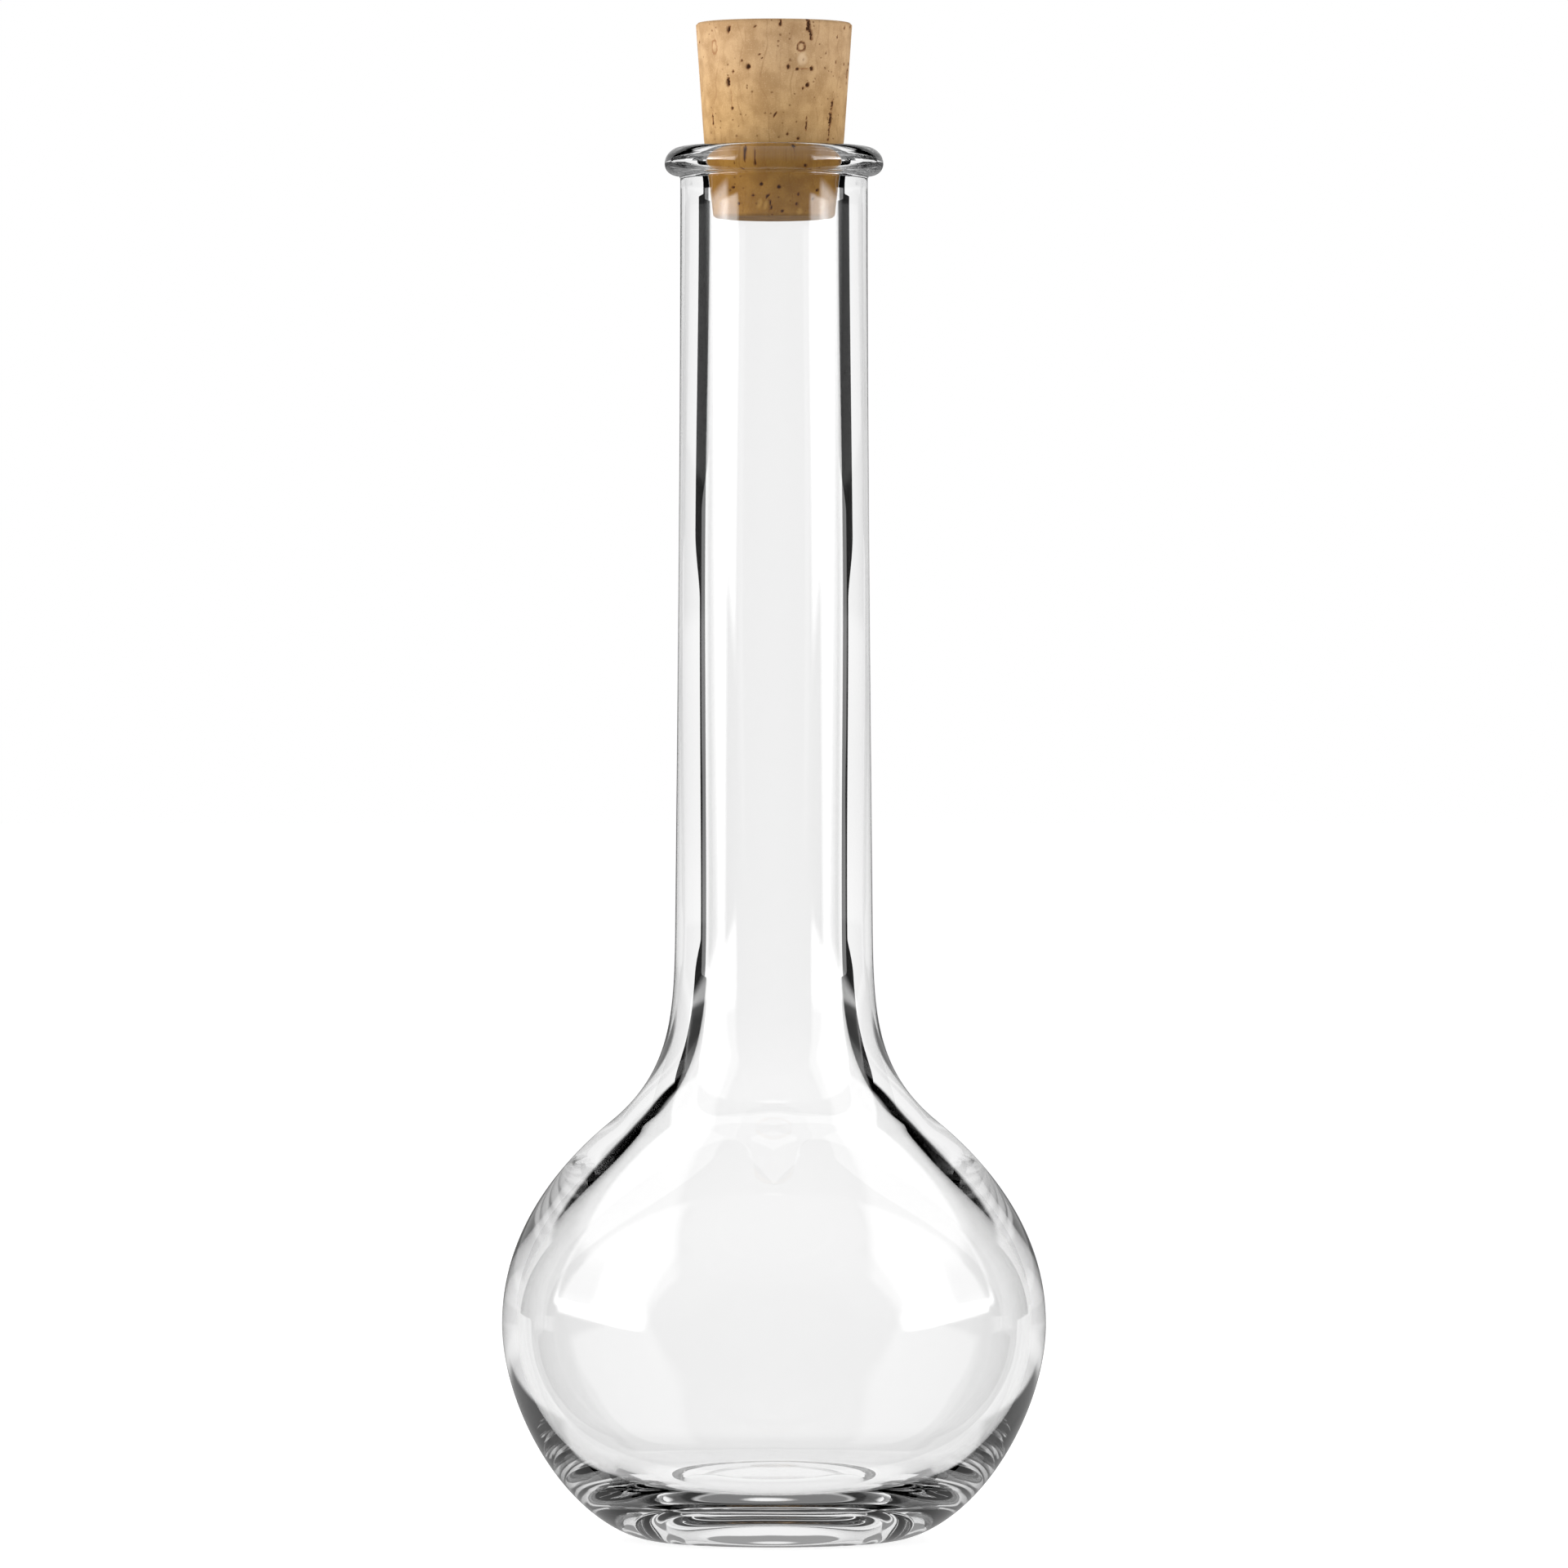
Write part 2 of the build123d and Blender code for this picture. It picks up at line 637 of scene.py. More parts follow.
@dataclass(frozen=True)
class Speck:
    """One size of speck: its cells per metre, its reach in its cell, and how many cells go without."""

    scale: float
    reach: float
    without: float


@dataclass(frozen=True)
class NaturalCork:
    """Natural cork: mottled, faintly lined by its growth, specked, and dark in its pores."""

    name: str = "natural_cork"
    light: Colour = (0.50, 0.325, 0.172, 1.0)
    dark: Colour = (0.38, 0.232, 0.112, 1.0)
    streak: Colour = (0.31, 0.175, 0.080, 1.0)
    speck: Colour = (0.20, 0.098, 0.040, 1.0)
    pore: Colour = (0.085, 0.034, 0.012, 1.0)
    pore_rim: Colour = (0.30, 0.145, 0.062, 1.0)
    scar: Colour = (0.66, 0.48, 0.31, 1.0)
    # Painted shade: the cork's lower end, inside the glass neck, is tinted darker and more orange for how
    # it looks through the glass
    neck_shade: Colour = (0.86, 0.70, 0.33, 1.0)
    # Darker and warmer low on the cork's part above the glass, fading out going up
    lower_tint: Colour = (0.97, 0.93, 0.76, 1.0)
    roughness: float = 0.82
    specular: float = 0.3
    mottle: Grain = Grain(420.0, 4.0)
    mottle_spread: Ramp = Ramp(0.34, 0.66)
    fibre: Grain = Grain(1900.0, 3.0)
    fibre_stretch: Sequence[float] = (1.0, 1.0, 0.13)
    fibre_spread: Ramp = Ramp(0.56, 0.78, 0.0, 0.45)
    grain: Grain = Grain(5200.0, 2.0)
    grain_dark: Ramp = Ramp(0.30, 0.44, 0.30, 0.0)
    grain_light: Ramp = Ramp(0.58, 0.70, 0.0, 0.25)
    layer_warp: Grain = Grain(90.0, 2.0)
    layer_bend: float = 1.6
    layers_per_metre: float = 290.0
    layer_width: Ramp = Ramp(0.0, 0.05, 0.55, 0.0)
    layer_breaks: Grain = Grain(260.0, 2.0)
    layer_spread: Ramp = Ramp(0.42, 0.60)
    speck_warp: float = 1500.0
    speck_bend: Sequence[float] = (0.5 * MM, 0.5 * MM, 0.3 * MM)
    speck_sizes: tuple[Speck, ...] = (Speck(620.0, 0.16, 0.56), Speck(1150.0, 0.20, 0.60))
    speck_share: float = 0.8
    pore_edge: Ramp = Ramp(0.03, 0.30, 0.0, 0.85)
    pore_heart: Ramp = Ramp(0.30, 0.75)
    scar_share: float = 0.7
    # Where the painted shade of the glass neck fades out, going up the cork
    neck_shade_fade: Ramp = Ramp(194.8 * MM, 197.3 * MM, 1.0, 0.0)
    # Where the tint low on the cork fades out, going up
    lower_tint_fade: Ramp = Ramp(198.0 * MM, 211.0 * MM, 1.0, 0.0)
    grain_relief: float = 0.35
    fibre_relief: float = 0.5
    speck_relief: float = 0.8
    bump_strength: float = 0.5
    bump_depth: float = 0.12 * MM

    def material(self) -> bpy.types.Material:
        """Builds the cork.

        Returns:
            The material.
        """
        material, graph = new_material(self.name)
        place = graph.node("TexCoord").outputs["Object"]
        tall = graph.node("Mapping")
        tall.inputs["Scale"].default_value = self.fibre_stretch
        graph.feed(tall.inputs["Vector"], place)
        fibre = graph.noise(tall.outputs[0], self.fibre)
        grain = graph.noise(place, self.grain)
        specks = self.specks(graph, place)

        mottle = graph.noise(place, self.mottle)
        colour = graph.blend(graph.ramp(mottle, self.mottle_spread), self.dark, self.light)
        colour = graph.blend(graph.ramp(fibre, self.fibre_spread), colour, self.streak)
        colour = graph.blend(self.growth_lines(graph, place), colour, self.streak)
        colour = graph.blend(graph.ramp(grain, self.grain_dark), colour, self.streak)
        colour = graph.blend(graph.ramp(grain, self.grain_light), colour, self.scar)
        colour = graph.blend(specks, colour, self.speck)

        pore = graph.attribute("pore")
        colour = graph.blend(graph.ramp(pore, self.pore_edge), colour, self.pore_rim)
        colour = graph.blend(graph.ramp(pore, self.pore_heart), colour, self.pore)
        colour = graph.blend(graph.times(graph.attribute("scar"), self.scar_share), colour, self.scar)

        height = graph.axes(place)[2]
        # Painted shade: the lower end, inside the glass neck, is tinted darker and more orange
        colour = graph.tinted(graph.ramp(height, self.neck_shade_fade), colour, self.neck_shade)
        # Darker and warmer low on the part above the glass, less so higher up
        colour = graph.tinted(graph.ramp(height, self.lower_tint_fade), colour, self.lower_tint)
        graph.finish(
            graph.surface(
                {
                    "Base Color": colour,
                    "Roughness": self.roughness,
                    "Specular IOR Level": self.specular,
                    "Normal": self.relief(graph, grain, fibre, specks),
                }
            )
        )
        return material

    def relief(self, graph: Graph, grain: Socket, fibre: Socket, specks: Socket) -> Socket:
        """The fine unevenness of the surface, with the specks sunk in.

        Args:
            graph: The cork's nodes.
            grain: The finest noise.
            fibre: The upright noise.
            specks: One in a speck.

        Returns:
            The bent normal.
        """
        fine = graph.times(grain, self.grain_relief)
        rough = graph.math("ADD", fine, graph.times(fibre, self.fibre_relief))
        height = graph.math("SUBTRACT", rough, graph.times(specks, self.speck_relief))
        bump = graph.node("Bump")
        bump.inputs["Strength"].default_value = self.bump_strength
        bump.inputs["Distance"].default_value = self.bump_depth
        graph.feed(bump.inputs["Height"], height)
        return bump.outputs[0]

    def growth_lines(self, graph: Graph, place: Socket) -> Socket:
        """Faint dark layers, a few millimetres apart, that stand upright through the cork.

        Args:
            graph: The cork's nodes.
            place: The place on the cork.

        Returns:
            How much of a layer is at each place.
        """
        warp = graph.times(graph.noise(place, self.layer_warp), self.layer_bend)
        across = graph.math("ADD", graph.times(graph.axes(place)[0], self.layers_per_metre), warp)
        phase = graph.math("ABSOLUTE", graph.math("SUBTRACT", graph.math("FRACT", across), 0.5))
        broken = graph.ramp(graph.noise(place, self.layer_breaks), self.layer_spread)
        return graph.times(graph.ramp(phase, self.layer_width), broken)

    def specks(self, graph: Graph, place: Socket) -> Socket:
        """Small brown specks and short dashes, uneven in size and number.

        Args:
            graph: The cork's nodes.
            place: The place on the cork.

        Returns:
            How much of a speck is at each place.
        """
        warp = graph.node("TexNoise")
        warp.inputs["Scale"].default_value = self.speck_warp
        graph.feed(warp.inputs["Vector"], place)
        bent = graph.node("VectorMath", operation="MULTIPLY_ADD")
        for socket, item in zip(bent.inputs, (warp.outputs["Color"], self.speck_bend, place)):
            graph.feed(socket, item)
        masks = []
        for size in self.speck_sizes:
            cells = graph.node("TexVoronoi")
            cells.inputs["Scale"].default_value = size.scale
            graph.feed(cells.inputs["Vector"], bent.outputs[0])
            dot = graph.ramp(cells.outputs["Distance"], Ramp(size.reach * 0.5, size.reach, 1.0, 0.0))
            chance = graph.node("SeparateColor")
            graph.feed(chance.inputs[0], cells.outputs["Color"])
            masks.append(graph.times(dot, graph.math("GREATER_THAN", chance.outputs[0], size.without)))
        return graph.times(graph.most(*masks), self.speck_share)


class MarkKind(Enum):
    """What a mark in the cork's side looks like."""

    PIT = "open pore"
    RING = "pore closed but for its rim"
    CRACK = "upright split"
    SCAR = "pale healed patch"


PIT, RING, CRACK, SCAR = MarkKind

# How much noise frays a mark's edge, and how far it makes a split wander
EDGE_FRAY = 0.22
CRACK_WANDER = 0.16

# A ring's line and its width, and where a pit ends and over how much, as shares of the mark's size
RING_LINE, RING_WIDTH = 0.95, 0.38
PIT_END, PIT_SLOPE = 1.3, 0.7

# A split's width as a share of the mark's, how much it frays, its sharpness and its taper
CRACK_WIDTH, CRACK_FRAY = 0.62, 0.5
CRACK_SHARPNESS, CRACK_TAPER = 1.6, 4


@dataclass(frozen=True)
class CorkMark:
    """One mark: degrees to the right of the front, millimetres below the top, and its size."""

    kind: MarkKind
    angle: float
    drop: float
    width: float
    height: float
    depth: float = 0.3
    lean: float = 0.0
    tone: float = 1.0

    def strength(self, across: float, up: float, rough: float) -> float:
        """How much of the mark is at this place.

        Args:
            across: Millimetres to the right of its middle.
            up: Millimetres above its middle.
            rough: Noise between minus one and one that frays its edge.

        Returns:
            Nought outside, one in its middle.
        """
        across = across - self.lean * up
        far = math.hypot(across / (self.width / 2), up / (self.height / 2)) + EDGE_FRAY * rough
        if self.kind is RING:
            return max(0.0, 1.0 - abs(far - RING_LINE) / RING_WIDTH)
        if self.kind is CRACK:
            wander = across + CRACK_WANDER * rough
            thin = 1.0 - abs(wander) / (self.width * (CRACK_WIDTH + CRACK_FRAY * rough))
            ends = 1.0 - (abs(up) / (self.height / 2)) ** CRACK_TAPER
            return clamp(CRACK_SHARPNESS * thin) * max(0.0, ends)
        return clamp((PIT_END - far) / PIT_SLOPE)


# The marks that the photo shows on the front, as CorkMark takes them
FRONT_MARKS = tuple(
    CorkMark(*mark)
    for mark in (
        (PIT, -35.5, 1.4, 0.55, 1.00, 0.45, 0.2),
        (RING, -51.0, 3.7, 1.10, 2.00, 0.12, 0.0, 0.32),
        (PIT, -20.0, 6.7, 0.62, 0.78, 0.45),
        (PIT, -38.0, 8.7, 0.62, 1.35, 0.45),
        (CRACK, 26.5, 0.9, 0.55, 1.90, 0.50, -0.1),
        (CRACK, 28.5, 2.2, 0.42, 1.70, 0.45, -0.15),
        (RING, 21.0, 3.9, 1.10, 1.30, 0.30, 0.0, 0.75),
        (SCAR, 22.0, 5.6, 1.40, 1.70, 0.05),
        (PIT, 23.0, 5.7, 0.28, 0.40, 0.20),
        (PIT, 11.0, 6.7, 0.45, 0.65, 0.35),
        (PIT, 18.0, 7.0, 0.45, 0.40, 0.30),
        (PIT, 24.0, 6.95, 1.30, 0.18, 0.10, 0.0, 0.4),
        (PIT, 30.0, 6.9, 0.52, 0.62, 0.35),
        (PIT, 27.0, 9.2, 0.52, 0.62, 0.35),
        (PIT, 23.0, 9.7, 0.32, 0.40, 0.15),
        (CRACK, 53.0, 11.9, 0.42, 1.50, 0.40, 0.1),
        (CRACK, 52.0, 13.9, 0.50, 2.20, 0.45, 0.05),
        (CRACK, 51.0, 15.9, 0.24, 2.20, 0.30, 0.05),
        (CRACK, 27.0, 14.6, 0.30, 2.20, 0.30),
        (PIT, 11.0, 16.1, 0.35, 0.40, 0.30),
        (PIT, 20.0, 16.7, 0.42, 0.40, 0.30),
        (PIT, -35.0, 12.4, 0.35, 0.50, 0.25),
        (CRACK, -35.5, 11.0, 0.26, 3.60, 0.08, 0.0, 0.2),
        (CRACK, 5.0, 0.6, 0.34, 1.10, 0.25),
        (CRACK, 5.0, 6.6, 0.30, 12.0, 0.06, 0.0, 0.12),
        (CRACK, -58.5, 13.8, 0.26, 1.90, 0.20, -0.1),
        (PIT, 65.0, 0.9, 0.42, 0.50, 0.25),
        (PIT, 78.0, 0.7, 0.42, 0.50, 0.25),
        (PIT, 55.0, 2.3, 0.30, 0.40, 0.20),
        (PIT, 55.0, 5.8, 0.30, 0.45, 0.20),
        (PIT, 68.0, 6.0, 0.42, 0.36, 0.20),
        (PIT, -14.0, 1.1, 0.50, 0.24, 0.20, 0.8),
        (PIT, -33.0, 7.3, 0.34, 0.38, 0.20),
        (PIT, -25.0, 5.8, 0.34, 0.28, 0.12),
        (PIT, -11.0, 5.0, 0.34, 0.30, 0.15, 0.5),
        (PIT, -9.0, 5.5, 0.26, 0.28, 0.15),
        (CRACK, 1.0, 13.4, 0.24, 0.90, 0.15, 0.6),
        (PIT, -10.0, 23.1, 0.40, 0.46, 0.30),
        (PIT, 4.0, 23.5, 0.44, 0.52, 0.35),
        (PIT, -34.0, 23.5, 0.36, 0.34, 0.25),
        (PIT, 37.0, 23.9, 0.36, 0.34, 0.25),
        (PIT, -17.0, 24.7, 0.34, 0.34, 0.20),
        (PIT, 20.0, 24.5, 0.30, 0.50, 0.20),
        (CRACK, -5.0, 24.8, 0.22, 0.90, 0.25, 0.7),
        (CRACK, -3.0, 26.0, 0.26, 1.60, 0.30, -0.2),
        (PIT, -30.0, 25.8, 0.34, 0.40, 0.25),
        (PIT, 19.0, 25.9, 0.30, 0.44, 0.20),
        (PIT, 7.0, 26.9, 0.36, 0.36, 0.25),
        (PIT, 33.0, 25.1, 0.28, 0.34, 0.20),
        (SCAR, -12.0, 25.8, 0.60, 1.30, 0.04, 0.2),
        (SCAR, -7.0, 26.1, 0.50, 1.20, 0.04, 0.2),
        (SCAR, 22.0, 26.9, 0.80, 0.90, 0.04),
        (PIT, -24.0, 18.4, 0.34, 0.40, 0.20),
        (PIT, -12.0, 17.8, 0.34, 0.36, 0.20),
        (PIT, 1.0, 17.9, 0.36, 0.36, 0.20),
        (PIT, -14.0, 19.4, 0.30, 0.36, 0.20),
        (PIT, -22.0, 19.7, 0.34, 0.40, 0.20),
        (PIT, 24.0, 19.1, 0.36, 0.36, 0.25),
        (PIT, 15.0, 19.9, 0.50, 0.36, 0.25),
        (PIT, 29.0, 18.2, 0.40, 0.30, 0.20),
    )
)


@dataclass(frozen=True)
class HiddenMarks:
    """How many marks of a kind the sides and the back have, how wide, and how tall for their width."""

    kind: MarkKind
    count: int
    widths: tuple[float, float]
    stretch: tuple[float, float]


@dataclass
class CorkStopper:
    """The tapered cork, tapering more steeply where the mouth holds it, with pores sunk into its surface.
    """

    bottom: float = 186.1
    top: float = 213.6
    bottom_radius: float = 8.5217
    waist: Point = Point(9.878, 197.3)
    top_radius: float = 11.0
    bevel: float = 0.3
    segments: int = 360
    row: float = 0.18
    bevel_row: float = 0.15
    bottom_row: float = 0.8
    top_row: float = 0.45
    seed: int = 11
    hidden: tuple[HiddenMarks, ...] = (
        HiddenMarks(PIT, 70, (0.25, 0.6), (0.8, 1.9)),
        HiddenMarks(CRACK, 16, (0.12, 0.5), (4.0, 9.0)),
        HiddenMarks(RING, 7, (0.9, 1.3), (1.1, 1.9)),
    )
    hidden_depths: tuple[float, float] = (0.12, 0.45)
    hidden_leans: tuple[float, float] = (-0.3, 0.3)
    rim_room: float = 0.8
    front_half: float = 75.0
    fray: float = 2.4
    reach: float = 0.75
    side_reach: float = 1.0
    cork: NaturalCork = field(default_factory=NaturalCork)

    def outline(self) -> list[Point]:
        """Draws the outline with rows close enough for the pores.

        Returns:
            Its points.
        """
        slope = (self.waist.radius - self.bottom_radius) / (self.waist.height - self.bottom)
        corners = [
            Point(0, self.bottom),
            Point(self.bottom_radius - self.bevel, self.bottom),
            Point(self.bottom_radius + slope * self.bevel, self.bottom + self.bevel),
            self.waist,
            Point(self.top_radius, self.top - self.bevel),
            Point(self.top_radius - self.bevel, self.top),
            Point(0, self.top),
        ]
        rows = (self.bottom_row, self.bevel_row, self.row, self.row, self.bevel_row, self.top_row)
        points = [corners[0]]
        for start, end, gap in zip(corners, corners[1:], rows):
            count = max(2, round(start.distance(end) / gap))
            for step in range(1, count + 1):
                t = step / count
                radius = start.radius + (end.radius - start.radius) * t
                points.append(Point(radius, start.height + (end.height - start.height) * t))
        return points

    def hidden_marks(self) -> list[CorkMark]:
        """Scatters marks over the back and the sides, of the same kinds as the front has.

        Returns:
            The marks.
        """
        draw = random.Random(self.seed)
        marks = []
        for batch in self.hidden:
            for _ in range(batch.count):
                width = draw.uniform(*batch.widths)
                marks.append(
                    CorkMark(
                        batch.kind,
                        draw.uniform(self.front_half, 360.0 - self.front_half),
                        draw.uniform(self.rim_room, self.top - self.bottom - self.rim_room),
                        width,
                        width * draw.uniform(*batch.stretch),
                        draw.uniform(*self.hidden_depths),
                        draw.uniform(*self.hidden_leans),
                    )
                )
        return marks

    def engrave(self, mesh: bpy.types.Mesh) -> None:
        """Sinks the marks into the side and notes them in two attributes.

        Args:
            mesh: The cork's mesh, in metres.
        """
        pores = mesh.attributes.new("pore", "FLOAT", "POINT").data
        scars = mesh.attributes.new("scar", "FLOAT", "POINT").data
        rows: dict[int, list[int]] = {}
        for vert in mesh.vertices:
            rows.setdefault(round(vert.co.z / (self.row * MM)), []).append(vert.index)
        for mark in list(FRONT_MARKS) + self.hidden_marks():
            height = self.top - mark.drop
            reach = mark.height * self.reach
            heading = math.radians(mark.angle - 90.0)
            low = math.floor((height - reach) / self.row)
            high = math.ceil((height + reach) / self.row)
            for index in (i for row in range(low, high + 1) for i in rows.get(row, ())):
                place = mesh.vertices[index].co
                radius = math.hypot(place.x, place.y) / MM
                across = math.remainder(math.atan2(place.y, place.x) - heading, math.tau) * radius
                if radius < self.bottom_radius - self.bevel or abs(across) > mark.width + self.side_reach:
                    continue
                rough = noise.noise(place / MM * self.fray)
                level = mark.strength(across, place.z / MM - height, rough)
                if level <= 0.0:
                    continue
                if mark.kind is SCAR:
                    scars[index].value = max(scars[index].value, level)
                else:
                    pores[index].value = max(pores[index].value, level * mark.tone)
                if pores[index].value <= level * mark.tone or mark.kind is SCAR:
                    inward = min(1.0, level * mark.depth / radius)
                    place.x *= 1.0 - inward
                    place.y *= 1.0 - inward

    def build(self) -> bpy.types.Object:
        """Builds the cork and hangs it on its body.

        Returns:
            The cork.
        """
        mesh = turned("cork_stopper_mesh", self.outline(), self.segments)
        self.engrave(mesh)
        piece = placed("cork_stopper_natural", mesh, self.cork.material())
        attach(piece, "cork")
        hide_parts("cork_stopper")
        return piece


# The least part to the side that a direction is given, because others are divided by it
NO_SIDE = 0.0001


class Sky(Graph):
    """The world's nodes, with the direction as angles and as shares of the way to the side."""

    def __init__(self, tree: bpy.types.NodeTree) -> None:
        """Measures the angle round from straight behind the bottle, and the angle above level.

        Args:
            tree: The world's node tree.
        """
        super().__init__(tree)
        x, y, z = self.axes(self.node("TexCoord").outputs["Generated"])
        side = self.math("MAXIMUM", self.math("ABSOLUTE", x), NO_SIDE)
        self.around = self.math("ARCTAN2", side, y)
        self.above = self.math("ARCSINE", z)
        self.away = self.math("ABSOLUTE", self.above)
        self.along = self.math("DIVIDE", y, side)
        self.up = self.math("DIVIDE", z, side)

    def step(self, angle: Socket, edge: Edge) -> Socket:
        """Goes over a soft edge in this angle."""
        return self.ramp(angle, edge.ramp())

    def beyond(self, angle: Socket, limit: float) -> Socket:
        """One where this angle is larger than a limit in degrees."""
        return self.math("GREATER_THAN", angle, math.radians(limit))

    def patch(self, patch: Patch) -> Socket:
        """One inside a patch, nought outside."""
        across = [self.step(self.around, edge) for edge in patch.around]
        return self.times(*across, *(self.step(self.above, edge) for edge in patch.above))

    def without(self, mask: Socket, share: float) -> Socket:
        """One outside a mask, and less by this share inside it."""
        return self.math("MULTIPLY_ADD", mask, -share, 1.0)

    def more(self, path: bpy.types.Node, depth: Depth, count: int) -> Socket:
        """One where the ray's count is more than this."""
        return self.math("GREATER_THAN", path.outputs[depth.value], count + 0.5)


@dataclass(frozen=True)
class Softbox:
    """The big softbox at each side, which leans in over the back, and the flag in front of it.

    The ramps and slopes of its outline are in shares of the way to the side.
    """

    lean: float = 0.33
    front: Ramp = Ramp(-0.68, -0.48)
    top_slope: float = -1.25
    top: Ramp = Ramp(1.75, 2.45, 1.0, 0.0)
    rear: Ramp = Ramp(0.30, 0.37, 1.0, 0.0)
    rear_slope: float = -1.5
    rear_foot: Ramp = Ramp(0.03, 0.17)
    foot_slope: float = -0.14
    foot: Ramp = Ramp(0.035, 0.09)
    tip: Ramp = Ramp(1.10, 1.35, 1.0, 0.0)
    levels: Edge = Edge(9.0, 6.0, 7.0, 2.3)
    flag: Patch = Patch((Edge(73.5, 3.0), fade(96.5, 5.0)), (Edge(7.5, 2.0), fade(25.0, 16.0)))
    flag_depth: float = 0.8

    def shape(self, sky: Sky) -> Socket:
        """Draws the softbox in the sky.

        Args:
            sky: The world's nodes.

        Returns:
            One inside its outline, nought outside.
        """
        front = sky.ramp(sky.math("MULTIPLY_ADD", sky.up, self.lean, sky.along), self.front)
        top = sky.ramp(sky.math("MULTIPLY_ADD", sky.along, self.top_slope, sky.up), self.top)
        rear = sky.ramp(sky.along, self.rear)
        rear_foot = sky.ramp(sky.math("MULTIPLY_ADD", sky.along, self.rear_slope, sky.up), self.rear_foot)
        foot = sky.ramp(sky.math("MULTIPLY_ADD", sky.along, self.foot_slope, sky.up), self.foot)
        return sky.times(front, top, sky.most(rear, rear_foot), foot, sky.ramp(sky.along, self.tip))

    def glow(self, sky: Sky) -> Socket:
        """Its brightness, highest at its foot."""
        return sky.step(sky.above, self.levels)

    def flagged_glow(self, sky: Sky) -> Socket:
        """Its brightness where the flag keeps its low rear part off the neck's outer face."""
        return sky.times(sky.without(sky.patch(self.flag), self.flag_depth), self.glow(sky))


@dataclass
class Surroundings:
    """White all round, with the softboxes, the room and the dark gaps that draw the glass."""

    softbox: Softbox = Softbox()
    far_softbox: float = 1.0
    ambient: float = 0.66
    window: Edge = Edge(0.75, 1.5, math.radians(50.0), math.radians(37.5))
    window_top: Edge = fade(33.0, 4.0)
    glancing_up: Edge = Edge(3.5, 2.0, 0.2, 0.55)
    glancing_down: Edge = Edge(-3.5, 1.5, 0.38, 0.2)
    room: float = 1.0
    far_room: float = 0.5
    room_rise: Edge = Edge(25.0, 120.0)
    room_front: Edge = Edge(122.0, 10.0)
    room_top: Edge = Edge(53.0, 10.0)
    gap_end: Edge = Edge(2.75, 1.5, math.radians(54.0), math.radians(70.0))
    dim_end: float = 63.0
    dim_depth: float = 0.8
    ground_turn: float = 17.0
    ground_slant: float = 0.8
    ground_near: Edge = Edge(-6.2, 4.5, 0.05, 1.0)
    ground_far: Edge = Edge(-30.0, 4.0, 0.8, 0.0)
    backdrop_top: Edge = fade(25.0, 3.0)
    ceiling: Edge = Edge(34.5, 5.0, 0.0, 0.75)
    front_start: Edge = Edge(70.0, 8.0)
    circling_top: Edge = Edge(35.0, 20.0, math.radians(14.0), math.radians(40.0))
    circling_near: Edge = Edge(-5.0, 4.0, 0.05, 1.0)
    circling_under: Edge = Edge(-16.0, 18.0)
    slit: Patch = Patch((fade(41.0, 6.0),), (Edge(-2.0, 1.0), fade(3.3, 0.6)))
    slit_depth: float = 0.7
    low_strip: Patch = Patch((fade(25.0, 10.0),), (Edge(5.2, 1.5), fade(13.5, 2.0)))
    low_depth: float = 0.8
    flank: Edge = Edge(4.0, 3.0, 0.75, 0.08)
    flank_start: float = 108.0
    sides: Edge = fade(144.0, 12.0)
    sides_level: Edge = Edge(3.5, 2.0, 0.65, 0.0)
    rim: Patch = Patch((fade(154.5, 5.0),), (Edge(-1.5, 2.0),))
    straight_low: Edge = Edge(-14.5, 5.0, 0.92, 1.0)
    straight_high: Edge = Edge(30.0, 6.0, 1.0, 0.08)

    def build(self) -> None:
        """Builds what each kind of ray sees around the bottle."""
        world = bpy.data.worlds.new("studio")
        world.use_nodes = True
        bpy.context.scene.world = world
        sky = Sky(world.node_tree)
        background = sky.node("Background")
        sky.feed(sky.node("OutputWorld").inputs["Surface"], background.outputs[0])
        path = sky.node("LightPath")
        far = sky.more(path, Depth.WENT_THROUGH, 2)
        entered = sky.more(path, Depth.WENT_THROUGH, 0)
        bounced = sky.more(path, Depth.TURNED_BACK, 0)
        often = sky.more(path, Depth.TURNED_BACK, 1)
        endless = sky.more(path, Depth.TURNED_BACK, 3)

        inner = sky.blend(often, self.turned_once(sky), self.circling(sky, endless))
        deep = sky.blend(far, inner, self.studio(sky, 1.0, self.far_softbox, self.far_room))
        edges = (self.glancing_up, self.glancing_down)
        backdrop = sky.most(*(sky.step(sky.above, edge) for edge in edges))
        first = self.studio(sky, backdrop, self.softbox.flagged_glow(sky), self.room)
        turned_back = sky.blend(entered, first, deep)
        straight = sky.blend(entered, grey(self.ambient), self.straight(sky))
        seen = sky.blend(bounced, straight, turned_back)
        seen = sky.blend(path.outputs[Ray.CAMERA.value], seen, grey(1.0))
        sky.feed(background.inputs[0], seen)

    def half_window(self, sky: Sky) -> Socket:
        """Half the width of the lit backdrop, in radians: wider low down than high up."""
        return sky.step(sky.above, self.window)

    def studio(self, sky: Sky, backdrop: object, softbox: object, room: float) -> Socket:
        """The backdrop, the softboxes and the room, which gets brighter towards its ceiling.

        Args:
            sky: The world's nodes.
            backdrop: Brightness of the backdrop, a number or a socket.
            softbox: Brightness of the softboxes, a number or a socket.
            room: Brightness of the ceiling.

        Returns:
            The brightness in each direction.
        """
        inside = sky.math("LESS_THAN", sky.around, self.half_window(sky))
        behind = sky.times(inside, sky.step(sky.above, self.window_top), backdrop)
        boxes = sky.times(self.softbox.shape(sky), softbox)
        open_side = sky.most(sky.step(sky.around, self.room_front), sky.step(sky.above, self.room_top))
        return sky.most(behind, boxes, sky.times(sky.step(sky.above, self.room_rise), open_side, room))

